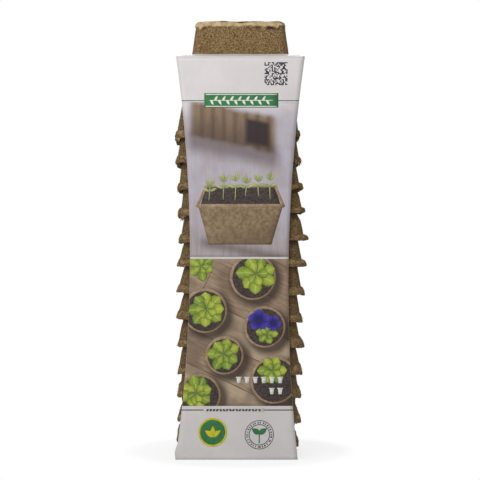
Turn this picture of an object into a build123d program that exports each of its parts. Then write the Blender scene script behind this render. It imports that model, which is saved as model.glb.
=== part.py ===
from build123d import *
import math
import os

# A pack of nested square peat pots, standing mouth down, in a folded card sleeve.
# Lengths are in millimetres. Z = 0 is the plane that the lowest pot's rim stands on,
# the stack's axis is Z, and the sleeve's printed front faces -Y.

# Moulded pot, measured with its mouth at the bottom
pot_count = 14
pot_height = 76.5
mouth_width = 79.0
base_width = 58.2
wall = 1.45
floor_thickness = 2.0
wall_corner = 5.5
foot_bevel = 1.8
drain_diameter = 6.0

# Rim: a thick moulded band round the mouth
rim_overhang = 1.5
rim_height = 5.0

# Nesting: each pot jams at its own height, which leaves its own gap at the sides
nest_gap = 0.75
nest_gap_shares = (1.03, 1.29, 1.05, 1.19, 1.01, 1.29, 1.23, 1.19, 1.27, 0.8, 0.87, 0.47, 0.07)

# Card sleeve: a collar round the top pot and two waisted legs, front and back
card = 0.45
sleeve_reveal = 24.2
sleeve_top_width = 83.8
sleeve_waist_width = 64.1
sleeve_foot_width = 79.2
sleeve_waist_share = 0.49
collar_gap = 0.3
leg_foot_gap = 0.3

# Hot-melt smears that hold the legs to the lowest pot's rim
glue_thickness = 0.6
glue_length = 10.0
glue_height = 2.4
glue_gap = 0.3
glue_spread_share = 0.5

# Sizes worked out from the ones above
half_taper = (mouth_width - base_width) / 2
draft = math.atan2(half_taper, pot_height)
wall_across = wall / math.cos(draft)
rim_width = mouth_width + 2 * rim_overhang
nest_pitches = [(wall_across + nest_gap * share) / math.tan(draft) for share in nest_gap_shares]
stack_height = pot_height + sum(nest_pitches)
crease_height = stack_height - sleeve_reveal - card
leg_inside = rim_width / 2 + glue_thickness + glue_gap
leg_outside = leg_inside + card


def mouth_height(number):
    """Height of pot number's mouth above the ground; pot 1 is the highest."""
    return sum(nest_pitches[number - 1 :])


def make_frustum(width, height, corner):
    """A square block this wide at Z = 0 that narrows upwards by the draft, its long edges rounded."""
    with BuildPart() as frustum:
        with BuildSketch():
            Rectangle(width, width)
        extrude(amount=height, taper=math.degrees(draft))
        long_edges = frustum.edges().filter_by(Axis.X, reverse=True).filter_by(Axis.Y, reverse=True)
        fillet(long_edges, radius=corner)
    return frustum.part


def make_leg(face_y):
    """A waisted leg of the sleeve, one card thick, which reaches from this y towards +Y."""
    half_top = sleeve_top_width / 2
    half_waist = sleeve_waist_width / 2
    half_foot = sleeve_foot_width / 2
    waist_height = sleeve_waist_share * crease_height
    with BuildPart() as leg:
        with BuildSketch(Plane.XZ.offset(-face_y)):
            with BuildLine():
                foot_left = (-half_foot, leg_foot_gap)
                foot_right = (half_foot, leg_foot_gap)
                crease_left = (-half_top, crease_height)
                crease_right = (half_top, crease_height)
                Line(foot_left, foot_right)
                ThreePointArc(foot_right, (half_waist, waist_height), crease_right)
                Line(crease_right, crease_left)
                ThreePointArc(crease_left, (-half_waist, waist_height), foot_left)
            make_face()
        extrude(amount=-card)
    return leg


def make_glue(face_y):
    """Two smears halfway up the lowest pot's rim, which reach from this y towards +Y."""
    smear_reach = glue_spread_share * sleeve_foot_width / 2
    with BuildPart() as glue:
        with BuildSketch(Plane.XZ.offset(-face_y)):
            with Locations((-smear_reach, rim_height / 2), (smear_reach, rim_height / 2)):
                Rectangle(glue_length, glue_height)
        extrude(amount=-glue_thickness)
    return glue


os.makedirs("parts", exist_ok=True)

# One pot: a tapered square cup, with its mouth at Z = 0
with BuildPart() as peat_pot:
    add(make_frustum(mouth_width, pot_height, wall_corner))
    chamfer(peat_pot.faces().sort_by(Axis.Z)[-1].edges(), length=foot_bevel)
    with BuildSketch():
        RectangleRounded(rim_width, rim_width, wall_corner + rim_overhang)
    extrude(amount=rim_height)
    hollow_height = pot_height - floor_thickness
    hollow = make_frustum(mouth_width - 2 * wall_across, hollow_height, wall_corner - wall)
    add(hollow, mode=Mode.SUBTRACT)
    with Locations((0, 0, pot_height)):
        Hole(drain_diameter / 2, floor_thickness)

# The stack: the same pot at every height, pot 1 on top
for number in range(1, pot_count + 1):
    with BuildPart() as nested_pot:
        with Locations((0, 0, mouth_height(number))):
            add(peat_pot.part)
    name = f"pot_{number:02d}"
    nested_pot.part.label = name
    export_step(nested_pot.part, f"parts/{name}.step")

# Collar: the sleeve's top panel, pushed down over the top pot until it jams
width_at_crease = mouth_width - 2 * (crease_height - mouth_height(1)) * math.tan(draft)
with BuildPart() as sleeve_collar:
    with BuildSketch(Plane.XY.offset(crease_height)):
        Rectangle(sleeve_top_width, 2 * leg_outside)
        window = width_at_crease + 2 * collar_gap
        RectangleRounded(window, window, wall_corner + collar_gap, mode=Mode.SUBTRACT)
    extrude(amount=card)
sleeve_collar.part.label = "sleeve_collar"
export_step(sleeve_collar.part, "parts/sleeve_collar.step")

sleeve_front = make_leg(-leg_outside)
sleeve_front.part.label = "sleeve_front"
export_step(sleeve_front.part, "parts/sleeve_front.step")

sleeve_back = make_leg(leg_inside)
sleeve_back.part.label = "sleeve_back"
export_step(sleeve_back.part, "parts/sleeve_back.step")

glue_dots_front = make_glue(-rim_width / 2 - glue_thickness)
glue_dots_front.part.label = "glue_dots_front"
export_step(glue_dots_front.part, "parts/glue_dots_front.step")

glue_dots_back = make_glue(rim_width / 2)
glue_dots_back.part.label = "glue_dots_back"
export_step(glue_dots_back.part, "parts/glue_dots_back.step")
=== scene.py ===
import math
import random

import bmesh
import bpy
from mathutils import Matrix, Vector, noise
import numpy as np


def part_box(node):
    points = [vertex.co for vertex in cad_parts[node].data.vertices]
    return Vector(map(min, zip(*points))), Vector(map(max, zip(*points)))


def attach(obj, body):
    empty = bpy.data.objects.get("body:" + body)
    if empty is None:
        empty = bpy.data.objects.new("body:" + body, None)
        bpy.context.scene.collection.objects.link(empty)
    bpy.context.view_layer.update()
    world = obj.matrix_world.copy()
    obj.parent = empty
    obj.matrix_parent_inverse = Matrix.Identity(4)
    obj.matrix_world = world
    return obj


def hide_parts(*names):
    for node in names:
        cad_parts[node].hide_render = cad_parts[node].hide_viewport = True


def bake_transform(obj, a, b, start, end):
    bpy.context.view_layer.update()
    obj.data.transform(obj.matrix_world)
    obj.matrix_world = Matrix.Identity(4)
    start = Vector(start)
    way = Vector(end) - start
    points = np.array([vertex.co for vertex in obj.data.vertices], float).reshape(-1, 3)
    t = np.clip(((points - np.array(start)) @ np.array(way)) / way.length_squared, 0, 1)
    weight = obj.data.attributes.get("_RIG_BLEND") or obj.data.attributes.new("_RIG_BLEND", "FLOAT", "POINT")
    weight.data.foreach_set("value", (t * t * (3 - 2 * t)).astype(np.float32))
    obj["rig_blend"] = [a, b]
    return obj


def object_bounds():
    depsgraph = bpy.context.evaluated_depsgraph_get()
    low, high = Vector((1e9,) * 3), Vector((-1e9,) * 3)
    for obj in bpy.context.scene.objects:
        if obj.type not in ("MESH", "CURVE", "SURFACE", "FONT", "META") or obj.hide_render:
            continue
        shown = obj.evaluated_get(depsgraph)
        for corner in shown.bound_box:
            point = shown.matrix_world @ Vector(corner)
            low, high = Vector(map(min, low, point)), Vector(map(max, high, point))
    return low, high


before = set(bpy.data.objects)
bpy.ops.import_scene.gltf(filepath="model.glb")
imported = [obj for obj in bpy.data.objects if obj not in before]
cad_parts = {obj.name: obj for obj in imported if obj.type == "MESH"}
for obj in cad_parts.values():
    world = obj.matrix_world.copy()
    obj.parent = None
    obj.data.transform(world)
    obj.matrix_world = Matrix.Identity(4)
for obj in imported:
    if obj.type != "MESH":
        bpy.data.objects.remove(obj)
solid_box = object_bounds()

# The pots
# Each pot is wet pulp of peat and wood fibre, drawn onto a mould and dried: a tapered square cup
# that stands mouth down here, with a rough wall, a thick uneven rim and a drain hole in its base.
# Pot 1 is the highest; each is wedged on the taper of the pot beneath it.
mm = 0.001
pot_count = 14
mouth_half = 39.5 * mm
base_half = 29.1 * mm
pot_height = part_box("pot_14")[1].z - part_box("pot_14")[0].z
taper = (mouth_half - base_half) / pot_height
wall = 1.45 * mm
floor_thickness = 2.0 * mm
wall_corner = 5.5 * mm
least_corner = 1 * mm
inner_round = 3 * mm
inner_step = 1 * mm
base_dish = 0.5 * mm
dent_size = 4.5 * mm
drain_radius = 3.0 * mm
foot_round = 1.8 * mm
foot_start = pot_height - foot_round
foot_band = 3.4 * mm
band_lift = 0.5 * mm
band_edge = 0.7 * mm
# Half the height of the painted shadow just under the pale band
band_shadow_half = 1.3 * mm
foot_rows = 7 * mm
card_room = 2.1 * mm
lip_height = 0.5 * mm
lip_inside = 1.2 * mm
bead_round = 0.9 * mm
bead_turn = 0.3
flare_height = 18 * mm
swell_blend = 5 * mm
crease_reach = 4.5 * mm
# Painted shade on the pulp: under the rim's bead, towards the mouth, and under the rim of the pot above
rim_underside_shade, mouth_shade, crease_shade = 0.12, 0.36, 0.55

# The shape of each rim at its front corners, in millimetres: how far its bead stands out, how high
# the bead is, how far it droops, how much the wall flares out to it, and how much wider the wall is
# there. The left corner comes first, then the right one, from the highest pot down.
rim_corners = (
    ((0.6, 5.0, 0.9, 0.4, 1.15), (0.8, 4.0, -0.3, 0.1, 0.0)),
    ((0.85, 4.8, 0.8, 0.5, 0.8), (0.7, 3.8, 0.2, 0.2, 0.25)),
    ((1.05, 4.6, 0.7, 0.4, 0.45), (2.7, 3.9, -0.3, 0.1, -0.05)),
    ((1.3, 5.0, 1.5, 0.5, -0.05), (1.3, 3.7, -1.6, 0.6, 0.7)),
    ((1.1, 4.8, 1.1, 0.8, 0.0), (2.9, 3.9, -0.9, 0.4, 1.4)),
    ((0.7, 4.8, 0.1, 1.6, 0.4), (2.7, 4.6, 0.1, 1.2, 0.0)),
    ((0.65, 5.4, -0.9, 1.4, 0.4), (1.8, 4.8, 1.0, 1.3, 0.0)),
    ((0.45, 5.8, -1.1, 1.4, 0.3), (1.3, 5.0, 1.3, 1.1, 0.0)),
    ((0.1, 4.5, -0.1, 0.5, 0.35), (2.4, 6.5, 0.4, 1.1, 0.1)),
    ((0.15, 4.5, 0.1, 0.2, 0.5), (1.0, 7.0, 0.4, 1.1, 0.2)),
    ((0.3, 4.5, 0.2, 0.7, -0.4), (1.25, 6.8, 0.3, 0.8, -0.3)),
    ((0.5, 4.5, 0.1, 1.2, -1.3), (1.6, 5.0, 1.4, 1.3, -0.95)),
    ((0.4, 4.0, 0.8, 0.2, -0.2), (2.0, 4.0, 3.0, 0.2, -1.3)),
    ((0.7, 4.5, 0.0, 0.2, 0.0), (0.0, 4.5, 0.0, 0.0, -0.5)),
)

# The whole stack bows a little to the sides: the shift in millimetres at shares of its height
sway_points = ((0, -1.5), (0.25, -0.5), (0.5, 0.9), (0.72, -0.8), (0.92, 0.3), (1, 0.3))

# A pot's section, from the lip round the outside to the inside, with the rings in each part of it
section_parts = (("lip", 4), ("bead", 14), ("wall", 42), ("foot", 7), ("base", 12), ("drain", 2),
                 ("floor", 8), ("inside", 24))
foot_rows_start = 0.7
side_steps = 40
corner_steps = 12
ring_steps = 4 * (side_steps + corner_steps)
unit_corner = 0.3

# Where the rim was torn when the pots were pulled apart, a tuft hangs at this turn round it
tufts = {1: 0.625, 2: 0.875, 4: 0.625, 7: 0.125, 9: 0.375}
tuft_spread = 0.012
tuft_strands = 7
loose_strands = 34
strand_room = 1.6 * mm
ground_room = 4 * mm


def mix(first, second, share):
    """The value this share of the way from the first to the second."""
    return first + (second - first) * share


def smooth(share):
    """A share that starts and ends gently."""
    share = min(max(share, 0), 1)
    return share * share * (3 - 2 * share)


def lumps(spot, size, shift=(0, 0, 0)):
    """A random value, mostly -0.5 to 0.5, that changes smoothly over lumps of this size."""
    return noise.noise(spot / size + Vector(shift))


def sway(height):
    """How far the stack stands to the right of its axis at this height."""
    share = height / solid_box[1][2]
    for (low_share, low), (high_share, high) in zip(sway_points, sway_points[1:]):
        if share <= high_share:
            rise = smooth((share - low_share) / (high_share - low_share))
            return mix(low, high, rise) * mm
    return sway_points[-1][1] * mm


def ring_point(turn, half_x, half_y, corner, roundness=0):
    """The point at this turn, 0 to 1, of a square ring with rounded corners, or of a circle."""
    quarter, along = divmod(4 * turn, 1)
    half_side = side_steps / (side_steps + corner_steps) / 2
    half_a, half_b = (half_x, half_y) if quarter % 2 == 0 else (half_y, half_x)
    if along < half_side:
        a, b = half_a, (half_b - corner) * along / half_side
    elif along > 1 - half_side:
        a, b = (half_a - corner) * (1 - along) / half_side, half_b
    else:
        angle = (along - half_side) / (1 - 2 * half_side) * math.pi / 2
        a = half_a - corner + corner * math.cos(angle)
        b = half_b - corner + corner * math.sin(angle)
    x, y = ((a, b), (-b, a), (-a, -b), (b, -a))[int(quarter) % 4]
    circle_x = half_x * math.cos(math.tau * turn)
    circle_y = half_y * math.sin(math.tau * turn)
    return mix(x, circle_x, roundness), mix(y, circle_y, roundness)


def raggedness(number):
    """How lumpy a pot's rim is, from 0 to 1: the highest ones were torn most."""
    return mix(1, 0.35, smooth((number - 3) / 4))


def rim_at(number, u, v):
    """A rim's five measures at u, left to right, and v, front to back, both -1 to 1."""
    front_left, front_right = rim_corners[number - 1]
    other = number - 1 if number == pot_count else (number + 4) % (pot_count - 1)
    back_left = (*rim_corners[other][1][:2], *front_left[2:])
    back_right = (*rim_corners[other][0][:2], *front_right[2:])
    across, deep = (u + 1) / 2, (v + 1) / 2
    return [mix(mix(fl, fr, across), mix(bl, br, across), deep) * mm
            for fl, fr, bl, br in zip(front_left, front_right, back_left, back_right)]


def section_at(part, share, reach, thickness):
    """A point of the section: its height, how far it stands out from the tapered wall, and how
    round its ring is, at the corners and altogether."""
    corner, roundness = wall_corner, 0
    if part == "lip":
        height = lip_height * (1 - share) ** 2
        proud = mix(-wall, max(reach - bead_round, 0), share)
        corner = max(wall_corner + proud, least_corner)
    elif part == "bead":
        low = min(share / bead_turn, 1) * math.pi / 2
        high = max(share - bead_turn, 0) / (1 - bead_turn)
        height = mix(bead_round * (1 - math.cos(low)), thickness, high)
        proud = max(reach - bead_round * (1 - math.sin(low)), 0) * (1 - high ** 5) ** 0.6
        corner = wall_corner + proud
    elif part == "wall":
        split = foot_start - foot_rows
        if share < foot_rows_start:
            height = mix(thickness, split, (share / foot_rows_start) ** 1.3)
        else:
            height = mix(split, foot_start, (share - foot_rows_start) / (1 - foot_rows_start))
        proud = 0
    elif part == "foot":
        angle = share * math.pi / 2
        height = foot_start + foot_round * math.sin(angle)
        proud = -foot_round * (1 - math.cos(angle))
    elif part == "base":
        height = pot_height - base_dish * math.sin(math.pi * share)
        proud = mix(-foot_round, drain_radius - base_half, share)
        corner = mix(wall_corner - foot_round, least_corner, share)
        roundness = share
    elif part == "drain":
        height = pot_height - floor_thickness * share
        proud = drain_radius - base_half
        corner, roundness = least_corner, 1
    elif part == "floor":
        height = pot_height - floor_thickness
        proud = mix(drain_radius - base_half, -wall - inner_round, share)
        corner = mix(least_corner, wall_corner - wall, share)
        roundness = 1 - share
    else:
        height = mix(pot_height - floor_thickness, lip_inside, share)
        proud = -wall - inner_step * (1 - smooth(share / 0.04))
        corner = wall_corner - wall
    return height, proud, corner, roundness


def pot_point(number, part, share, turn):
    """A point of a pot's surface, and its looks there: bare skin with painted highlight and shade, tears,
    and painted shade.
    """
    mouth = mouths[number]
    u, v = ring_point(turn, 1, 1, unit_corner)
    reach, thickness, droop, flare, swell = rim_at(number, u, v)
    torn = raggedness(number)
    spot = Vector((40 * u, 40 * v, 60 * number))
    reach *= 1 + 0.3 * lumps(spot, 7)
    reach += torn * (0.8 * lumps(spot, 2.6) + 0.3 * lumps(spot, 1.1)) * mm
    thickness *= 1 + 0.2 * lumps(spot, 6, (9, 0, 0))
    if number < pot_count:
        droop += (0.7 * lumps(spot, 9, (0, 9, 0)) + 0.5 * torn * lumps(spot, 2.2)) * mm
    height, proud, corner, roundness = section_at(part, share, reach, thickness)
    place = Vector((40 * u, 40 * v, (mouth + height) / mm))
    room = mouths[number - 1] - mouth if number > 1 else 2 * flare_height

    # How the pulp looks: torn on the rim, a painted highlight on the bead, bare and painted lit round the
    # base, painted shade in its hollows, and painted shade under the rims, towards the mouth and in the
    # creases
    bare = rim = painted_shade = 0
    if part == "lip":
        rim = torn
        # Painted shade on the rim's underside
        painted_shade = rim_underside_shade * (1 - share)
    elif part == "bead":
        high = max(share - bead_turn, 0) / (1 - bead_turn)
        rim = torn * (1 - high ** 3)
        # Painted highlight: a patchy pale line on the bead's upper edge, where light from above catches it
        bare = smooth(1 - abs(high - 0.6) / 0.45) * max(0.08 + 0.8 * lumps(spot, 2.2), 0)
        # Painted shade, fading up the bead from its underside
        painted_shade = rim_underside_shade * (1 - share)
    elif part == "base":
        # Pale at the base's edge: partly bare skin, partly painted highlight on the edge that faces up
        bare = 0.55 * (1 - share) ** 4
    elif part in ("wall", "foot"):
        # The pale band round the base edge is partly bare skin and partly painted highlight on the rounded
        # edge
        edge = foot_band + (2.0 * lumps(place, 11) + 1.2 * lumps(place, 3.5)) * mm
        bare = smooth((height - pot_height + edge) / band_edge)
        proud += band_lift * bare
        # Painted shadow in patches just below the pale band
        band_shadow = max(1 - abs(height - pot_height + edge + band_edge) / band_shadow_half, 0)
        bare *= 0.85 + 0.5 * lumps(place, 4, (5, 0, 0))
        bare -= 2.4 * band_shadow * max(lumps(place, 8, (0, 0, 3)) - 0.05, 0)
        if part == "foot":
            # Painted shade: dark strokes along the top of the base's edge
            top_edge_shade = max(lumps(Vector((40 * u, 40 * v, 8)), 9) + 0.02, 0)
            bare -= 3.2 * smooth((share - 0.35) / 0.2) * top_edge_shade
    # Painted shade towards the mouth, and on lower pots in the crease just under the rim of the pot above
    if part in ("wall", "inside"):
        painted_shade = mouth_shade * smooth(1.35 - height / flare_height)
    if part == "wall" and number > 1:
        painted_shade += crease_shade * smooth(1 - abs(height - room - 1 * mm) / crease_reach)

    # The ring's size: the tapered wall with its flare and swell, roughened
    fall = max(1 - height / flare_height, 0)
    rough = 0.12 * lumps(place, 7) + 0.09 * lumps(place, 2.4)
    if part in ("bead", "lip", "foot", "base"):
        rough += 0.2 * lumps(place, 3) + 0.2 * lumps(place, 1.4)
    half = mouth_half - taper * height + proud + flare * fall ** 1.3 + rough * mm
    spread = swell_blend if number > 1 else 4 * swell_blend
    half += swell * smooth((room + 0.5 * mm - height) / spread)
    if part in ("base", "drain", "floor"):
        half = base_half + proud
    half_y = min(half, mouth_half + card_room - 0.25 * mm * rough)
    x, y = ring_point(turn, half, half_y, min(corner, half), roundness)

    # The height: the rim droops, the base is dented along its edge, and nothing is underground
    z = mouth + height - droop * fall ** 2
    if part in ("foot", "base"):
        dent = max(lumps(Vector((x, y, 9 * number * mm)), dent_size) - 0.13, 0)
        at_edge = (1 - share) ** 3 if part == "base" else share
        z += (0.7 + 0.5 * lumps(Vector((x, y, mouth)), 9 * mm) - 1.6 * dent) * mm * at_edge
        # Painted shade darkens the dents
        bare -= 3.2 * dent * at_edge
    if part in ("lip", "bead"):
        z += (0.3 + 0.5 * torn) * mm * lumps(place, 1.7) * (1 - share)
    z = max(z, 0)
    return Vector((x + sway(z), y, z)), bare, rim, painted_shade


def next_ring(bm, edges):
    """Draws a loop of edges out into a new ring, and returns the new ring's vertices and edges."""
    drawn = bmesh.ops.extrude_edge_only(bm, edges=edges)["geom"]
    verts = [item for item in drawn if isinstance(item, bmesh.types.BMVert)]
    fresh = set(verts)
    edges = [item for item in drawn
             if isinstance(item, bmesh.types.BMEdge) and fresh.issuperset(item.verts)]
    return verts, edges


def draw_section(rows, place, look_names=()):
    """A closed skin, drawn ring by ring through its section. place gives a point from its row and
    its turn round the ring, and then a value for each named look."""
    bm = bmesh.new()
    names = ("turn", *look_names)
    for name in names:
        bm.verts.layers.float.new(name)
    turn_layer, *look_layers = (bm.verts.layers.float[name] for name in names)
    verts = bmesh.ops.create_circle(bm, segments=ring_steps, radius=1)["verts"]
    for vert in verts:
        vert[turn_layer] = math.atan2(vert.co.y, vert.co.x) / math.tau % 1
    first_edges = edges = list(bm.edges)
    for count, row in enumerate(rows):
        if count:
            verts, edges = next_ring(bm, edges)
        for vert in verts:
            vert.co, *looks = place(row, vert[turn_layer])
            for layer, value in zip(look_layers, looks):
                vert[layer] = value
    bmesh.ops.bridge_loops(bm, edges=first_edges + edges)
    bm.verts.layers.float.remove(turn_layer)
    return bm


def new_object(name, data):
    """Puts data into the scene as an object at the origin."""
    thing = bpy.data.objects.new(name, data)
    bpy.context.scene.collection.objects.link(thing)
    return thing


def finish_piece(bm, name, material, smooth_faces=True):
    """Turns a bmesh into an object at the origin, with its faces outwards."""
    bmesh.ops.recalc_face_normals(bm, faces=bm.faces)
    for face in bm.faces:
        face.smooth = smooth_faces
    mesh = bpy.data.meshes.new(name)
    bm.to_mesh(mesh)
    bm.free()
    piece = new_object(name, mesh)
    mesh.materials.append(material)
    return piece


def press_pot(number, material):
    """Builds one pot as a single closed skin."""
    rows = [(part, step / count) for part, count in section_parts for step in range(count)]
    bm = draw_section(rows, lambda row, turn: pot_point(number, *row, turn),
                      ("bare", "rim", "painted_shade"))
    return finish_piece(bm, f"peat_pot_{number:02d}", material)


def fray_pot(number, material):
    """Loose fibres that stick out of one pot's rim, and a tuft where it was torn."""
    draw = random.Random(number)
    strands = [(draw.random(), draw.uniform(0.15, 0.75), draw.uniform(0.8, 2.4),
                draw.uniform(0.2, 1.2), 1) for _ in range(loose_strands)]
    if number in tufts:
        strands += [(tufts[number] + draw.uniform(-tuft_spread, tuft_spread), 0.05,
                     draw.uniform(1.6, 3.4), 6, 2.6) for _ in range(tuft_strands)]
    bm = bmesh.new()
    for turn, share, length, hang, thick in strands:
        root = pot_point(number, "bead", share, turn)[0]
        way = Vector((root.x, root.y, 0)).normalized()
        way += Vector([draw.uniform(-0.7, 0.7) for _ in range(3)])
        way = (way - Vector((0, 0, hang))).normalized()
        free = mouth_half + strand_room - abs(root.y)
        if way.y * root.y > 0:
            way.y = math.copysign(min(abs(way.y), max(free / (length * mm), 0)), root.y)
        if root.z < ground_room:
            way.z = abs(way.z)
        way.normalize()
        middle = Matrix.Translation(root + way * (length / 2 - 0.3) * mm)
        bmesh.ops.create_cone(bm, cap_ends=True, segments=5, depth=length * mm,
                              radius1=thick * draw.uniform(0.1, 0.2) * mm,
                              radius2=0.04 * thick * mm,
                              matrix=middle @ way.to_track_quat("Z", "Y").to_matrix().to_4x4())
    return finish_piece(bm, f"peat_pot_{number:02d}_fibres", material)


def colour(red, green, blue):
    """A colour given as on a screen, 0 to 255, in the linear values that a shader takes."""
    linear = [(c / 255 / 12.92) if c < 10.3 else ((c / 255 + 0.055) / 1.055) ** 2.4
              for c in (red, green, blue)]
    return (*linear, 1)


def main_shader(tree):
    """The shader that a new material starts with."""
    return tree.nodes["Principled BSDF"]


def new_material(name, roughness, specular=0.5):
    """A material with this roughness and gloss, and its node tree."""
    material = bpy.data.materials.new(name)
    material.use_nodes = True
    sockets = main_shader(material.node_tree).inputs
    sockets["Roughness"].default_value = roughness
    sockets["Specular IOR Level"].default_value = specular
    return material, material.node_tree


def is_output(value):
    """Whether a socket's value is another node's output."""
    return isinstance(value, bpy.types.NodeSocket)


def add_node(kind, sockets, tree=None, **settings):
    """Adds a shader node with its settings and its sockets filled. It needs no tree where one of
    the values is an output. Three numbers for a colour are those on a screen."""
    if tree is None:
        tree = next(value.id_data for value in sockets.values() if is_output(value))
    node = tree.nodes.new("ShaderNode" + kind)
    for key, value in settings.items():
        setattr(node, key, value)
    for key, value in sockets.items():
        socket = node.inputs[key]
        if is_output(value):
            tree.links.new(value, socket)
        elif socket.type == "RGBA" and len(value) == 3:
            socket.default_value = colour(*value)
        else:
            socket.default_value = value
    return node


def object_place(tree):
    """The output of a point's place on the piece, in metres."""
    return add_node("TexCoord", {}, tree).outputs["Object"]


def look(tree, name):
    """The output of a look kept on the mesh."""
    return add_node("Attribute", {}, tree, attribute_name=name).outputs["Fac"]


def calc(operation, first, second=0.0):
    """The output of a Math node."""
    sockets = {0: first, 1: second}
    return add_node("Math", sockets, operation=operation).outputs["Value"]


def times(first, second):
    """The output of a product."""
    return calc("MULTIPLY", first, second)


def step_up(value, low, high):
    """The output that climbs from 0 to 1 while a value goes from low to high."""
    sockets = {"Value": value, "From Min": low, "From Max": high}
    return add_node("MapRange", sockets, interpolation_type="SMOOTHSTEP").outputs["Result"]


def remap(place, scale=(1, 1, 1), turn=(0, 0, 0)):
    """The output of a place, stretched and turned."""
    sockets = {"Vector": place, "Scale": scale, "Rotation": turn}
    return add_node("Mapping", sockets).outputs["Vector"]


def grain(place, per_unit, detail=4):
    """The output of a noise with this many lumps to the unit that place is in."""
    sockets = {"Vector": place, "Scale": per_unit, "Detail": detail, "Roughness": 0.6}
    return add_node("TexNoise", sockets).outputs["Fac"]


def patches(place, per_unit, low, high, detail=4):
    """The output of a noise that climbs from 0 to 1 at the edges of scattered patches."""
    return step_up(grain(place, per_unit, detail), low, high)


def blend(factor, first, second):
    """The output that goes from one colour to another as the factor goes from 0 to 1."""
    sockets = {0: factor, 6: first, 7: second}
    return add_node("Mix", sockets, data_type="RGBA").outputs[2]


def lay_over(share, strength, under, over):
    """The output of a colour laid over another where the share says, and this strongly."""
    return blend(times(share, strength), under, over)


def paint(output, socket="Base Color"):
    """Gives the material's main shader this output, as its colour or as what the socket says."""
    tree = output.id_data
    tree.links.new(output, main_shader(tree).inputs[socket])


def peat_fibre():
    """Pressed peat: brown and mottled, with pale fibres and dark specks, darker where it is torn
    and with painted shade, and pale where the pulp's skin is bare or a highlight is painted."""
    material, tree = new_material("peat_fibre", 0.95, 0.15)
    place = object_place(tree)
    body = blend(patches(place, 90, 0.3, 0.7), (88, 68, 42), (115, 91, 60))
    body = blend(patches(place, 900, 0.35, 0.65, 5), body, (130, 106, 71))
    grit = grain(place, 1500, 3)
    body = lay_over(step_up(grit, 0.5, 0.68), 0.75, body, (182, 154, 108))
    body = lay_over(step_up(grit, 0.5, 0.34), 0.8, body, (56, 42, 24))
    # Painted shade under the rims, towards the mouth and in the creases
    body = blend(look(tree, "painted_shade"), body, (62, 50, 32))
    clots = patches(place, 480, 0.42, 0.6, 3)
    body = lay_over(look(tree, "rim"), clots, body, (84, 66, 40))
    along = remap(place, (1, 1, 4), (0.5, 0.9, 0.3))
    body = blend(patches(along, 700, 0.6, 0.72, 3), body, (172, 148, 108))
    body = blend(patches(place, 1300, 0.6, 0.7, 2), body, (68, 49, 31))
    # Pale where the skin is bare, and where a highlight is painted
    bare = look(tree, "bare")
    body = lay_over(bare, patches(place, 350, 0.0, 0.6), body, (198, 174, 138))
    # Painted shade in the dents, under the pale band and along the base's top edge
    hollow_shade = step_up(times(bare, -1.0), 0.05, 0.6)
    paint(blend(hollow_shade, body, (60, 45, 30)))
    sockets = {"Height": grain(place, 260), "Distance": 0.6 * mm, "Strength": 1.0}
    clods = add_node("Bump", sockets).outputs["Normal"]
    sockets = {"Height": grain(place, 1000, 5), "Distance": 0.45 * mm, "Normal": clods}
    paint(add_node("Bump", sockets).outputs["Normal"], "Normal")
    return material


def loose_fibre():
    """Bare wood and sedge fibres, straw to dark brown."""
    material, tree = new_material("loose_fibre", 0.8)
    shade = patches(object_place(tree), 150, 0.35, 0.65, 2)
    paint(blend(shade, (92, 70, 44), (160, 134, 94)))
    return material


mouths = {number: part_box(f"pot_{number:02d}")[0].z for number in range(1, pot_count + 1)}
pulp, fibre = peat_fibre(), loose_fibre()
for number in mouths:
    node = f"pot_{number:02d}"
    pot = press_pot(number, pulp)
    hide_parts(node)
    frayed = fray_pot(number, fibre)
    for piece in (pot, frayed):
        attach(piece, node)

# The sleeve
# One strip of white board, folded over the top pot: a collar whose square window jams on the pot's
# taper, and two waisted legs that run down the front and the back and are glued to the lowest rim.
# It is printed and varnished outside; the inside and the cut edges are bare board.
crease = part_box("sleeve_collar")[0].z
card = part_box("sleeve_collar")[1].z - crease
leg_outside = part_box("sleeve_back")[1].y
foot_drop = 0.25 * mm
leg_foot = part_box("sleeve_front")[0].z - foot_drop
half_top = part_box("sleeve_front")[1].x
half_waist = 32.05 * mm
half_foot = 39.8 * mm
waist_share = 0.49
collar_gap = 0.3 * mm
collar_rings = 8
collar_corner = 0.2 * mm
collar_wave = 0.2 * mm
collar_wave_width = 14 * mm
collar_hold = 5 * mm
window_lift = 2.7 * mm
fold_inside = 0.15 * mm
fold_radius = card + fold_inside
fold_height = crease + card - fold_radius
fold_y = leg_outside - fold_radius
bow_depth = 0.4 * mm
wave_width = 30 * mm
wave_height = 45 * mm
held_share = 0.06
foot_lean = -2.2 * mm
top_lean = 0.3 * mm
foot_curl = 1.1 * mm
curl_height = 5.5 * mm
curl_reach = 6.5 * mm
sheet_columns = 24
leg_rows = 120
fold_rows = 6


def leg_half(height):
    """Half the leg's width at this height: a curve through its foot, its waist and its crease."""
    share = height / crease
    foot = half_foot * (share - waist_share) * (share - 1) / waist_share
    waist = half_waist * share * (share - 1) / (waist_share * (waist_share - 1))
    return foot + waist + half_top * share * (share - waist_share) / (1 - waist_share)


def leg_lean(height):
    """How far to the right the card stands at this height, because it was glued a bit askew."""
    return mix(top_lean, foot_lean, max(1 - height / crease, 0) ** 1.7)


def leg_point(side, x, height, depth):
    """A point of a leg, this far from its middle line and this deep in it; side is -1 in front."""
    share = height / crease
    hold = smooth(min(share, 1 - share) / held_share)
    waves = noise.noise(Vector((x / wave_width, height / wave_height, 4 * side)))
    bow = bow_depth * hold * (math.sin(math.pi * share) + 0.5 * waves + 0.5)
    curl = foot_curl * smooth(1 - abs(height - curl_height) / curl_reach)
    curl *= max(side * x / half_foot, 0) ** 3
    return Vector((x + leg_lean(height) - curl, side * (leg_outside + bow - depth), height))


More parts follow.
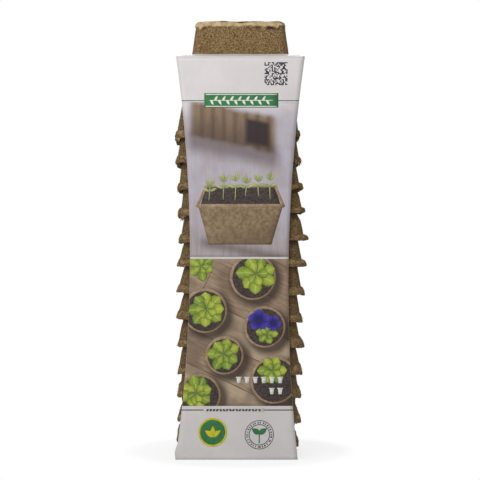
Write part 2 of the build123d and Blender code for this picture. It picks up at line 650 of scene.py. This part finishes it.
def make_sheet(name, rows, place, front, back):
    """A thin closed sheet. place gives a point from its shares across and up, and 0 in front or 1
    behind."""
    bm = bmesh.new()
    bmesh.ops.create_grid(bm, x_segments=sheet_columns, y_segments=rows, size=0.5)
    front_verts = set(bm.verts)
    front_faces = set(bm.faces)
    bmesh.ops.extrude_face_region(bm, geom=list(bm.faces), use_keep_orig=True)
    for vert in bm.verts:
        vert.co = place(vert.co.x + 0.5, vert.co.y + 0.5, 0 if vert in front_verts else 1)
    for face in bm.faces:
        face.material_index = 0 if face in front_faces else 1
    piece = finish_piece(bm, name, front)
    piece.data.materials.append(back)
    return piece


def cut_leg(side, name):
    """One waisted leg, from its glued foot to just under the fold."""
    def place(across, up, depth):
        height = mix(leg_foot, fold_height, up)
        return leg_point(side, (2 * across - 1) * leg_half(height), height, depth * card)

    return make_sheet(name, leg_rows, place, varnished, board)


def fold_card(side, name):
    """The folded edge, where the board turns from the collar down into a leg."""
    def place(across, round_share, depth):
        angle = round_share * math.pi / 2
        radius = fold_radius - depth * card
        x = (2 * across - 1) * half_top + leg_lean(crease)
        y = side * (fold_y + radius * math.cos(angle))
        return Vector((x, y, fold_height + radius * math.sin(angle)))

    return make_sheet(name, fold_rows, place, varnished, board)


def collar_point(row, turn):
    """A point of the collar, at a share from the window to the edge, on top or underneath."""
    share, under = row
    window = mouth_half - taper * (crease + window_lift - mouths[1]) + collar_gap
    corner = mix(wall_corner + collar_gap, collar_corner, share)
    x, y = ring_point(turn, mix(window, half_top, share), mix(window, fold_y, share), corner)
    held = smooth((fold_y - abs(y)) / collar_hold)
    lift = window_lift * mix((1 - share) ** 1.2, 1 - 0.7 * share, held * abs(x) / half_top)
    lift += collar_wave * held * lumps(Vector((x, y, 0)), collar_wave_width)
    return (Vector((x + leg_lean(crease), y, crease + card * (1 - under) + lift)),)


def coated_board(name, white, roughness):
    """White board with a faint mottle; the varnished side has a soft gloss."""
    material, tree = new_material(name, roughness)
    place = object_place(tree)
    tint = [channel * 0.93 for channel in white[:3]] + [1]
    paint(blend(patches(place, 60, 0.3, 0.7), white, tint))
    sockets = {"Height": grain(place, 1500, 2), "Distance": 0.03 * mm, "Strength": 0.4}
    paint(add_node("Bump", sockets).outputs["Normal"], "Normal")
    return material


varnished = coated_board("varnished_card", colour(206, 201, 200), 0.45)
board = coated_board("bare_board", colour(214, 209, 203), 0.9)
for side, leg_node, fold_name in ((-1, "sleeve_front", "front_crease_fold"),
                                  (1, "sleeve_back", "back_crease_fold")):
    leg = cut_leg(side, f"{leg_node}_card")
    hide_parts(leg_node)
    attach(leg, leg_node)
    fold = fold_card(side, fold_name)
    start = (0, side * fold_y, crease + card / 2)
    end = (0, side * (leg_outside - card / 2), fold_height)
    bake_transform(fold, "sleeve_collar", leg_node, start=start, end=end)
rings = [ring / collar_rings for ring in range(collar_rings + 1)]
collar_rows = [(share, 0) for share in rings] + [(share, 1) for share in reversed(rings)]
collar = finish_piece(draw_section(collar_rows, collar_point), "sleeve_collar_card", varnished)
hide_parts("sleeve_collar")
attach(collar, "sleeve_collar")

# The print on the front
# The front leg is printed in colour and varnished: a green banner, two garden pictures and two
# round badges. The inks lie on the board in layers a few hundredths of a millimetre thick.
# Its places and sizes are in millimetres, from the card's middle line and from the ground.
ink = 0.02 * mm
bleed = 0.08 * mm
panel_step = 2.2 * mm
draw = random.Random(5)
whole_card = (2, 260)
picture = whole_card


def print_point(x, height, layer, depth):
    """A point of the print, in metres; the back of each layer is in the board."""
    return leg_point(-1, x, height, ink if depth else -ink * layer)


def keep_print(piece):
    """Fixes a printed layer to the front leg."""
    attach(piece, "sleeve_front")


def print_panel(name, low, high, layer, material):
    """An evenly printed field that reaches to just inside the card's curved edges."""
    def place(across, up, depth):
        height = mix(low * mm, high * mm, up)
        return print_point((2 * across - 1) * (leg_half(height) - bleed), height, layer, depth)

    rows = max(2, round((high * mm - low * mm) / panel_step))
    keep_print(make_sheet(f"print_{name}", rows, place, material, material))


def bar(u, v):
    """A plain rectangle."""
    return u, v


def away(x, height, reach, turn):
    """The place this far from another, in the direction given in degrees."""
    way = math.radians(turn)
    return x + reach * math.cos(way), height + reach * math.sin(way)


def new_print():
    """An empty mesh for printed shapes, with the layers that their inks read."""
    bm = bmesh.new()
    for name in ("across", "along", "tone"):
        bm.verts.layers.float.new(name)
    return bm


def print_shape(bm, shape, centre, half_wide, half_long, layer, turn=90, steps=6):
    """Adds one printed shape: its centre, its half sizes, and its length turned by degrees."""
    low, high = picture
    looks = [bm.verts.layers.float[name] for name in ("across", "along", "tone")]
    front = bmesh.ops.create_grid(bm, x_segments=steps, y_segments=steps, size=1)["verts"]
    faces = list(dict.fromkeys(face for vert in front for face in vert.link_faces))
    drawn = bmesh.ops.extrude_face_region(bm, geom=faces, use_keep_orig=True)["geom"]
    behind = [item for item in drawn if isinstance(item, bmesh.types.BMVert)]
    tone = draw.random()
    along = Vector(away(0, 0, 1, turn))
    across = Vector((along.y, -along.x))
    for verts, depth in ((front, 0), (behind, 1)):
        for vert in verts:
            u, v = vert.co.x, vert.co.y
            for layout, value in zip(looks, (u, v, tone)):
                vert[layout] = value
            a, b = shape(u, v)
            spot = Vector(centre) + across * a * half_wide + along * b * half_long
            rise = min(max(spot.y, low), high) * mm
            edge = leg_half(rise) - bleed
            vert.co = print_point(min(max(spot.x * mm, -edge), edge), rise, layer, depth)


def finish_print(bm, name, material):
    """Turns printed shapes into a piece on the front leg."""
    bmesh.ops.dissolve_degenerate(bm, dist=0.001 * mm, edges=bm.edges)
    keep_print(finish_piece(bm, f"print_{name}", material))


def new_ink(name):
    """An ink under varnish: its material and its node tree."""
    return new_material(f"print_{name}", 0.5, 0.25)


def card_place(tree):
    """The output of a point's place on the card, in millimetres."""
    sockets = {0: object_place(tree), "Scale": 1 / mm}
    return add_node("VectorMath", sockets, operation="SCALE").outputs["Vector"]


def plain_ink(name, first, second):
    """One ink, a little uneven."""
    material, tree = new_ink(name)
    paint(blend(patches(card_place(tree), 0.5, 0.3, 0.7, 3), first, second))
    return material


# The banner
# A green field printed across a thin green line near the top of the leg, with two pale rules and
# a vine of plain leaves in white. A thin dark line near the foot matches it.
banner_x, banner_z = 0.6, 233.8
top_line = (233.3, 233.9)
foot_line = (32.1, 32.75)
green_ink = plain_ink("green", (44, 104, 62), (56, 118, 72))
white_ink = plain_ink("white", (214, 214, 206), (226, 226, 218))
line_ink = plain_ink("line", (34, 44, 40), (52, 62, 56))


def slim_leaf(u, v):
    """A pointed leaf, widest below its middle."""
    return u * max(math.sin(math.pi * ((v + 1) / 2) ** 0.8), 0.02) ** 0.9, v


print_panel("top_line", *top_line, 1, green_ink)
print_panel("foot_line", *foot_line, 1, line_ink)
bm = new_print()
print_shape(bm, bar, (banner_x, banner_z), 24.1, 4.7, 2, steps=12)
finish_print(bm, "banner", green_ink)
bm = new_print()
for side in (-1, 1):
    print_shape(bm, bar, (banner_x, banner_z + 3.9 * side), 23.2, 0.25, 3, steps=12)
print_shape(bm, bar, (banner_x, banner_z), 20.5, 0.22, 3, steps=12)
for leaf in range(15):
    side = 1 if leaf % 2 else -1
    print_shape(bm, slim_leaf, (-18.4 + 2.6 * leaf, banner_z + 1.4 * side), 0.75, 1.8,
                3.2 + 0.1 * leaf, turn=58 * side)
finish_print(bm, "banner_vine", white_ink)

# The block of squares
# A square block near the top right corner, printed in black. It is a plain texture of small
# squares, each there or not at random, and says nothing.
squares_left, squares_low, square_pitch = 16.0, 244.1, 0.79
black_ink = plain_ink("black", (44, 40, 52), (58, 54, 66))
bm = new_print()
for column in range(19):
    for row in range(19):
        if draw.random() < 0.5:
            centre = (squares_left + square_pitch * column, squares_low + square_pitch * row)
            print_shape(bm, bar, centre, 0.38, 0.38, 1, steps=1)
finish_print(bm, "squares", black_ink)

# The upper picture
# A colour picture that fills the leg's upper half: a long seed tray of peat with a row of
# seedlings, on pale boards, and a slatted crate behind it that is out of focus.
upper_picture = (132.0, 232.6)
tray_x = 0.5

# Each seedling's leaves: their directions in degrees, and how far up the stem they grow
leaf_turns = ((18, 0.62), (162, 0.6), (52, 0.9), (128, 0.92), (88, 1.0))


def tapering(u, v):
    """A rectangle that narrows downwards."""
    return u * mix(0.74, 1, (v + 1) / 2), v


def receding(u, v):
    """A rectangle that narrows a little upwards, as a surface seen from above does."""
    return u * mix(1, 0.86, (v + 1) / 2), v


def within(value, low, high, blur):
    """The output that is 1 where a value lies between two bounds, with soft edges."""
    rise = step_up(value, low - blur, low + blur)
    return calc("SUBTRACT", rise, step_up(value, high - blur, high + blur))


def outside(value, low, high):
    """The output that falls from 1 to 0 while a value goes from low to high."""
    return calc("SUBTRACT", 1.0, step_up(value, low, high))


def split_place(in_mm):
    """The outputs of a place's x and its height."""
    axes = add_node("SeparateXYZ", {"Vector": in_mm}).outputs
    return axes["X"], axes["Z"]


def streaks(in_mm, scale, stretch=1.0, turn=0.0):
    """The output of a noise drawn out along one direction of the card."""
    return grain(remap(in_mm, (1, 1, stretch), (0, turn, 0)), scale, 3)


def haze_ink():
    """The picture's ground: pale boards, and the crate, both blurred."""
    material, tree = new_ink("haze")
    in_mm = card_place(tree)
    x, height = split_place(in_mm)
    near = step_up(height, 136, 168)
    ground = blend(near, (156, 145, 145), (173, 167, 177))
    ground = blend(step_up(height, 218, 234), ground, (206, 201, 204))
    boards = step_up(streaks(in_mm, 0.5, 0.12, 0.12), 0.35, 0.7)
    ground = lay_over(boards, 0.5, ground, (186, 181, 190))
    warm = step_up(streaks(in_mm, 0.06), 0.42, 0.72)
    ground = lay_over(warm, 0.3, ground, (150, 130, 116))
    slant = calc("ADD", height, times(x, 0.2))
    for low, high, left, right, blur, dark in ((195, 207, -34, 25, 6, 0.75),
                                               (134, 139, -26, 30, 4, 0.8)):
        across = within(x, left, right, 5.0)
        shadow = times(within(slant, low, high, blur), across)
        ground = lay_over(shadow, dark, ground, (98, 84, 82))
    wobble = times(streaks(in_mm, 0.08), 5.0)
    crate = within(calc("ADD", slant, wobble), 206, 230, 2.6)
    crate = times(crate, within(x, -32, 23, 3.0))
    fibres = streaks(in_mm, 0.25, 0.25, 0.2)
    wood = blend(fibres, (104, 84, 68), (152, 130, 106))
    wood = lay_over(outside(slant, 204, 226), 0.7, wood, (74, 58, 50))
    slats = calc("PINGPONG", calc("ADD", x, 50.0), 3.6)
    wood = lay_over(step_up(slats, 1.0, 3.6), 0.45, wood, (66, 50, 44))
    ground = blend(crate, ground, wood)
    opening = times(within(x, 4, 19, 2.0), within(slant, 207, 223, 2.0))
    paint(lay_over(opening, 0.95, ground, (42, 31, 35)))
    return material


def soil_ink():
    """Dark potting soil with pale crumbs."""
    material, tree = new_ink("soil")
    in_mm = card_place(tree)
    clods = patches(in_mm, 0.9, 0.35, 0.65)
    soil = blend(clods, (38, 31, 33), (76, 65, 60))
    paint(blend(patches(in_mm, 2.2, 0.62, 0.72, 2), soil, (116, 102, 94)))
    return material


def leaf_ink(name, dark, light, lime):
    """Leaves: each its own green, with a pale rib and veins, darker at its foot and edges."""
    material, tree = new_ink(name)
    across, along, tone = (look(tree, layer) for layer in ("across", "along", "tone"))
    off_rib = calc("ABSOLUTE", across)
    green = blend(tone, light, lime)
    green = lay_over(step_up(off_rib, 0.35, 1.1), 0.7, green, dark)
    foot = step_up(times(along, -1.0), -0.4, 1.0)
    green = lay_over(foot, 0.75, green, dark)
    sweep = calc("SUBTRACT", times(along, 3.2), times(off_rib, 1.8))
    veins = step_up(calc("PINGPONG", sweep, 0.5), 0.36, 0.5)
    green = lay_over(veins, 0.22, green, (196, 206, 128))
    rib = outside(off_rib, 0.05, 0.18)
    paint(lay_over(rib, 0.4, green, (200, 208, 140)))
    return material


def peat_ink(name, dark, light):
    """The printed colour of peat or clay ware, mottled, darker towards its foot."""
    material, tree = new_ink(name)
    ware = blend(patches(card_place(tree), 0.45, 0.15, 0.85, 6), dark, light)
    turned = calc("SUBTRACT", times(look(tree, "across"), 0.6), look(tree, "along"))
    paint(lay_over(step_up(turned, -0.4, 1.4), 0.6, ware, dark))
    return material


picture = upper_picture
ware_ink = peat_ink("ware", (96, 78, 60), (158, 136, 104))
rim_ink = peat_ink("ware_rim", (122, 98, 76), (178, 154, 124))
soil = soil_ink()
sprout_ink = leaf_ink("sprouts", (104, 116, 70), (146, 154, 98), (184, 184, 128))
print_panel("upper_ground", *picture, 1, haze_ink())
bm = new_print()
print_shape(bm, tapering, (tray_x, 152.5), 27.5, 12.5, 2, steps=12)
finish_print(bm, "tray", ware_ink)
bm = new_print()
print_shape(bm, bar, (tray_x, 177.6), 22.6, 0.8, 2, steps=12)
for side in (-1, 1):
    print_shape(bm, bar, (tray_x + 25.4 * side, 171.2), 0.9, 7.4, 2.3, turn=90 + 23 * side)
print_shape(bm, bar, (tray_x, 165.2), 28.2, 1.2, 5, steps=12)
finish_print(bm, "tray_rim", rim_ink)
bm = new_print()
print_shape(bm, receding, (tray_x, 171.3), 26.2, 5.9, 2.1, steps=12)
finish_print(bm, "tray_soil", soil)
bm = new_print()
for plant in range(6):
    foot_x = -19.5 + 7.9 * plant + draw.uniform(-1, 1)
    tall = draw.uniform(9, 15)
    foot_z = 170 + draw.uniform(-1.5, 1.5)
    turn = 90 + draw.uniform(-7, 7)
    print_shape(bm, bar, (foot_x, foot_z + tall / 2), 0.32, tall / 2, 3, turn=turn)
    for leaf, (turn, rise) in enumerate(leaf_turns):
        turn += draw.uniform(-10, 10)
        print_shape(bm, slim_leaf, away(foot_x, foot_z + tall * rise, 2.5, turn), 1.0, 2.7,
                    3.2 + 0.1 * leaf, turn=turn)
finish_print(bm, "seedlings", sprout_ink)

# The lower picture
# A colour picture that fills the leg's lower half: round bowls of soil on weathered boards, seen
# from above, with rosettes of broad leaves and a few violet flowers. Small white signs in the
# shape of a pot stand over its lower right corner.
lower_picture = (35.1, 130.7)

# Places first: then a bowl's radius, a plant's size, number of leaves and turn in degrees, and
# a flower's size
bowls = ((9.0, 119.0, 15.0), (-22.0, 97.0, 14.5), (17.0, 86.5, 13.5), (-9.0, 68.0, 12.5),
         (23.5, 52.0, 15.5), (-25.0, 42.0, 14.0))
plants = ((11.0, 121.0, 12.5, 7, 10), (-21.0, 98.0, 11.5, 8, 40), (18.5, 81.5, 7.0, 5, 75),
          (-9.5, 69.0, 10.5, 7, 20), (22.5, 58.0, 9.5, 6, 0), (-27.0, 43.5, 11.0, 8, 55),
          (-25.0, 126.0, 9.0, 6, 30))
flowers = ((13.0, 91.0, 6.4), (22.5, 89.0, 4.8))


def disc(u, v):
    """A square drawn into a circle."""
    return u * math.sqrt(1 - v * v / 2), v * math.sqrt(1 - u * u / 2)


def broad_leaf(u, v):
    """A rounded leaf, widest near its tip."""
    return u * max(math.sin(math.pi * ((v + 1) / 2) ** 1.5), 0.02) ** 0.6, v


def bench_ink():
    """The picture's ground: weathered boards laid aslant, with the bowls' soft shadows."""
    material, tree = new_ink("bench")
    in_mm = card_place(tree)
    x, height = split_place(in_mm)
    flat = add_node("CombineXYZ", {"X": x, "Y": height}).outputs["Vector"]
    turned = remap(flat, turn=(0, 0, 0.45))
    sockets = {"Vector": turned, "Color1": (176, 156, 131), "Color2": (134, 111, 90),
               "Mortar": (66, 50, 40), "Scale": 1.0, "Mortar Size": 0.35,
               "Mortar Smooth": 0.6, "Brick Width": 140.0, "Row Height": 21.0}
    boards = add_node("TexBrick", sockets).outputs["Color"]
    lines = patches(remap(turned, (0.12, 1, 1)), 0.7, 0.35, 0.7)
    ground = lay_over(lines, 0.45, boards, (190, 172, 148))
    shade = patches(in_mm, 0.05, 0.4, 0.65, 2)
    ground = lay_over(shade, 0.55, ground, (92, 74, 58))
    for bowl_x, bowl_z, radius in bowls:
        sockets = {0: flat, 1: (bowl_x + 1.5, bowl_z - 2.5, 0)}
        off = add_node("VectorMath", sockets, operation="DISTANCE").outputs["Value"]
        dark = outside(off, radius - 1.0, radius + 5.0)
        ground = lay_over(dark, 0.85, ground, (46, 35, 29))
    paint(ground)
    return material


def petal_ink():
    """Violet petals, paler at their edges."""
    material, tree = new_ink("petal")
    edge = step_up(look(tree, "along"), -0.6, 1.0)
    paint(blend(edge, (34, 28, 92), (72, 64, 168)))
    return material


def print_rosette(bm, x, height, size, leaves, turn):
    """A plant from above: a wide ring of leaves with a smaller ring on top."""
    for ring, (count, reach, wide) in enumerate(((leaves, 1.0, 0.36), (leaves - 1, 0.62, 0.26))):
        for leaf in range(count):
            angle = turn + 37 * ring + 360 * (leaf + 0.3 * draw.random()) / count
            long = size * reach * draw.uniform(0.85, 1.1)
            print_shape(bm, broad_leaf, away(x, height, 0.52 * long, angle), wide * size, long / 2,
                        4 + ring + 0.1 * leaf, turn=angle)


picture = lower_picture
leaves_ink = leaf_ink("leaves", (58, 84, 32), (106, 136, 44), (170, 182, 56))
petals = petal_ink()
print_panel("lower_ground", *picture, 1, bench_ink())
rims, beds = new_print(), new_print()
for place, (x, height, radius) in enumerate(bowls):
    print_shape(rims, disc, (x, height), radius, radius, 2 + 0.1 * place, turn=125, steps=20)
    print_shape(beds, disc, (x + 0.2, height - 0.3), radius - 1.5, radius - 1.5, 3 + 0.1 * place,
                steps=20)
finish_print(rims, "bowls", rim_ink)
finish_print(beds, "bowl_soil", soil)
bm = new_print()
for plant in plants:
    print_rosette(bm, *plant)
finish_print(bm, "leaves", leaves_ink)
bm = new_print()
for flower, (x, height, size) in enumerate(flowers):
    for petal in range(5):
        angle = 20 + 72 * petal + 40 * flower
        print_shape(bm, broad_leaf, away(x, height, 0.55 * size, angle), 0.46 * size, 0.56 * size,
                    4 + 0.1 * petal + flower, turn=angle)
finish_print(bm, "flowers", petals)
picture = whole_card
bm = new_print()
for count, height in ((6, 51.6), (2, 44.4)):
    for sign in range(count):
        x = 27.6 - 5.4 * sign
        print_shape(bm, tapering, (x, height), 1.4, 1.7, 7, steps=2)
        print_shape(bm, bar, (x, height + 2.1), 1.9, 0.32, 7, steps=2)
finish_print(bm, "pot_signs", white_ink)

# The foot line's ornament
# A row of tiny leaves, printed in the dark line's own ink on a gap left bare for them in the
# middle of the line.
line_z = 32.4
bare_ink = plain_ink("bare", (200, 195, 193), (206, 201, 200))
bm = new_print()
print_shape(bm, bar, (-2.5, line_z), 19.5, 1.2, 2, steps=12)
finish_print(bm, "line_gap", bare_ink)
bm = new_print()
for leaf in range(17):
    turn = draw.choice((30, 150))
    print_shape(bm, slim_leaf, (-19.3 + 2.1 * leaf, line_z), 0.75, 1.05, 3, turn=turn)
finish_print(bm, "line_leaves", line_ink)

# The badges
# Two round badges side by side at the leg's foot: three yellow leaves on a green disc with a
# yellow edge, and a green sprout in two thin rings with short dark marks between them.
leaf_badge = (-15.8, 17.9)
sprout_badge = (14.5, 16.3)
yellow_ink = plain_ink("yellow", (186, 178, 30), (206, 196, 52))


def print_ring(name, centre, radius, thick, layer, material):
    """A thin printed ring, its section spun round and laid on the card."""
    bm = bmesh.new()
    corners = ((radius - thick, 0), (radius, 0), (radius, 1), (radius - thick, 1))
    verts = [bm.verts.new((reach, depth, 0)) for reach, depth in corners]
    edges = [bm.edges.new((verts[i], verts[(i + 1) % 4])) for i in range(4)]
    bmesh.ops.spin(bm, geom=verts + edges, axis=(0, 1, 0), cent=(0, 0, 0), angle=math.tau,
                   steps=64, use_merge=True)
    x, height = centre
    for vert in bm.verts:
        place = ((x + vert.co.x) * mm, (height + vert.co.z) * mm)
        vert.co = print_point(*place, layer, vert.co.y)
    finish_print(bm, name, material)


bm = new_print()
print_shape(bm, disc, leaf_badge, 8.6, 8.6, 1, steps=12)
finish_print(bm, "badge", green_ink)
print_ring("badge_edge", leaf_badge, 9.4, 1.3, 2, yellow_ink)
bm = new_print()
for turn in (35, 145, 90):
    way = math.radians(turn)
    centre = (leaf_badge[0] + 2.6 * math.cos(way), 15.2 + 3.2 * math.sin(way))
    print_shape(bm, slim_leaf, centre, 1.7, 3.6, 2 + turn / 90, turn=turn)
finish_print(bm, "badge_leaves", yellow_ink)
print_ring("ring_outer", sprout_badge, 9.5, 0.45, 1, line_ink)
print_ring("ring_inner", sprout_badge, 6.9, 0.5, 1, line_ink)
bm = new_print()
for mark in range(30):
    turn = 12 * mark + draw.uniform(-3, 3)
    print_shape(bm, bar, away(*sprout_badge, 7.95, turn), draw.uniform(0.25, 0.5), 0.62, 1,
                turn=turn, steps=1)
finish_print(bm, "ring_marks", line_ink)
bm = new_print()
print_shape(bm, bar, (sprout_badge[0], 14.2), 0.4, 3.4, 1)
for turn in (35, 145):
    print_shape(bm, slim_leaf, away(sprout_badge[0], 17.0, 2.8, turn), 1.9, 3.2, 1.2 + turn / 100,
                turn=turn)
finish_print(bm, "sprout", green_ink)

# The glue
# Two smears of hot-melt glue hold each leg's foot to the lowest pot's rim; they are soft, amber
# and shiny, and squeezed flat between the card and the peat.
smear_half_long = 5 * mm
smear_half_high = 1.2 * mm


def smear_glue(side, node):
    """Two flat, lumpy smears behind the foot of one leg."""
    low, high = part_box(node)
    middle = (low + high) / 2
    bm = bmesh.new()
    for at_side in (-1, 1):
        blob = bmesh.ops.create_icosphere(bm, subdivisions=4, radius=1)["verts"]
        for vert in blob:
            size = 1 + 0.25 * noise.noise(vert.co * 1.5 + Vector((0, 0, 7 * at_side + side)))
            x = smear_half_long * vert.co.x * size + at_side * (high.x - smear_half_long)
            y = middle.y + vert.co.y * (high.y - low.y) / 2
            vert.co = (x, y, middle.z + smear_half_high * vert.co.z * size)
    piece = finish_piece(bm, f"{node}_smear", hot_melt)
    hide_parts(node)
    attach(piece, "pot_14")


hot_melt, tree = new_material("hot_melt", 0.3)
amber = grain(object_place(tree), 500)
paint(blend(amber, (214, 190, 140), (230, 214, 176)))
sockets = main_shader(tree).inputs
sockets["Subsurface Weight"].default_value = 0.2
sockets["Subsurface Scale"].default_value = 0.5 * mm
smear_glue(-1, "glue_dots_front")
smear_glue(1, "glue_dots_back")

# Floor, light and camera
# A pale floor under soft, even studio light, seen from level with the middle of the pack. The
# floor keeps the pack's shadow near it and turns plain white further out.
shadow_start, shadow_end, least_white = 0.03, 0.085, 0.78
floor_size = 6
world_light = 0.44
lamp_aim = (0, 0, 0.14)
high_watts, side_watts, back_watts = 0.66, 3.0, 5.0

# The camera is 1 m away, where a metre spans 1472 pixels in a frame that is 480 pixels wide
sensor_width = 36
frame_pixels, metre_pixels = 480, 1472
eye_height = 0.143


def mix_shaders(tree, share, first, second, output):
    """Makes a tree's surface go from the first shader to the second where the share says."""
    both = add_node("MixShader", {0: share, 1: first, 2: second})
    tree.links.new(both.outputs["Shader"], tree.nodes[output].inputs["Surface"])


def stage_white():
    """The floor: pale and matt, and lit up as white where the camera sees it."""
    material, tree = new_material("stage_white", 0.9)
    shader = main_shader(tree)
    shader.inputs["Base Color"].default_value = colour(252, 252, 252)
    plain = add_node("Emission", {"Color": (1, 1, 1, 1), "Strength": 1}, tree)
    sockets = {0: object_place(tree)}
    reach = add_node("VectorMath", sockets, operation="LENGTH").outputs["Value"]
    white = calc("MAXIMUM", step_up(reach, shadow_start, shadow_end), least_white)
    rays = add_node("LightPath", {}, tree).outputs
    seen = calc("MAXIMUM", rays["Is Glossy Ray"], rays["Is Transmission Ray"])
    seen = calc("MAXIMUM", rays["Is Camera Ray"], seen)
    mix_shaders(tree, times(white, seen), shader.outputs["BSDF"],
                plain.outputs["Emission"], "Material Output")
    return material


def hang_lamp(name, place, target, size, power):
    """A soft square lamp that faces a point."""
    lamp = bpy.data.lights.new(name, "AREA")
    lamp.size = size
    lamp.energy = power
    holder = new_object(name, lamp)
    holder.location = place
    way = Vector(target) - Vector(place)
    holder.rotation_euler = way.to_track_quat("-Z", "Y").to_euler()


bm = bmesh.new()
bmesh.ops.create_grid(bm, x_segments=1, y_segments=1, size=floor_size)
floor = finish_piece(bm, "floor", stage_white(), smooth_faces=False)

world = bpy.data.worlds.new("studio")
bpy.context.scene.world = world
world.use_nodes = True
tree = world.node_tree
rays = add_node("LightPath", {}, tree).outputs
seen = calc("MAXIMUM", rays["Is Camera Ray"], rays["Is Glossy Ray"])
lit, shown = (add_node("Background", {"Color": (1, 1, 1, 1), "Strength": strength}, tree)
              for strength in (world_light, 1))
mix_shaders(tree, seen, lit.outputs["Background"], shown.outputs["Background"], "World Output")

hang_lamp("high_lamp", (-0.1, -0.3, 0.42), (0, 0, 0.2), 0.25, high_watts)
hang_lamp("side_lamp", (-0.9, -0.9, 0.5), lamp_aim, 0.6, side_watts)
hang_lamp("back_lamp", (0, 1.1, 0.7), lamp_aim, 0.6, back_watts)

camera = bpy.data.cameras.new("camera")
camera.sensor_width = sensor_width
camera.lens = sensor_width * metre_pixels / frame_pixels
eye = new_object("camera", camera)
eye.location = (0, -1, eye_height)
eye.rotation_euler = (math.pi / 2, 0, 0)
bpy.context.scene.camera = eye
bpy.context.scene.view_settings.view_transform = "Standard"
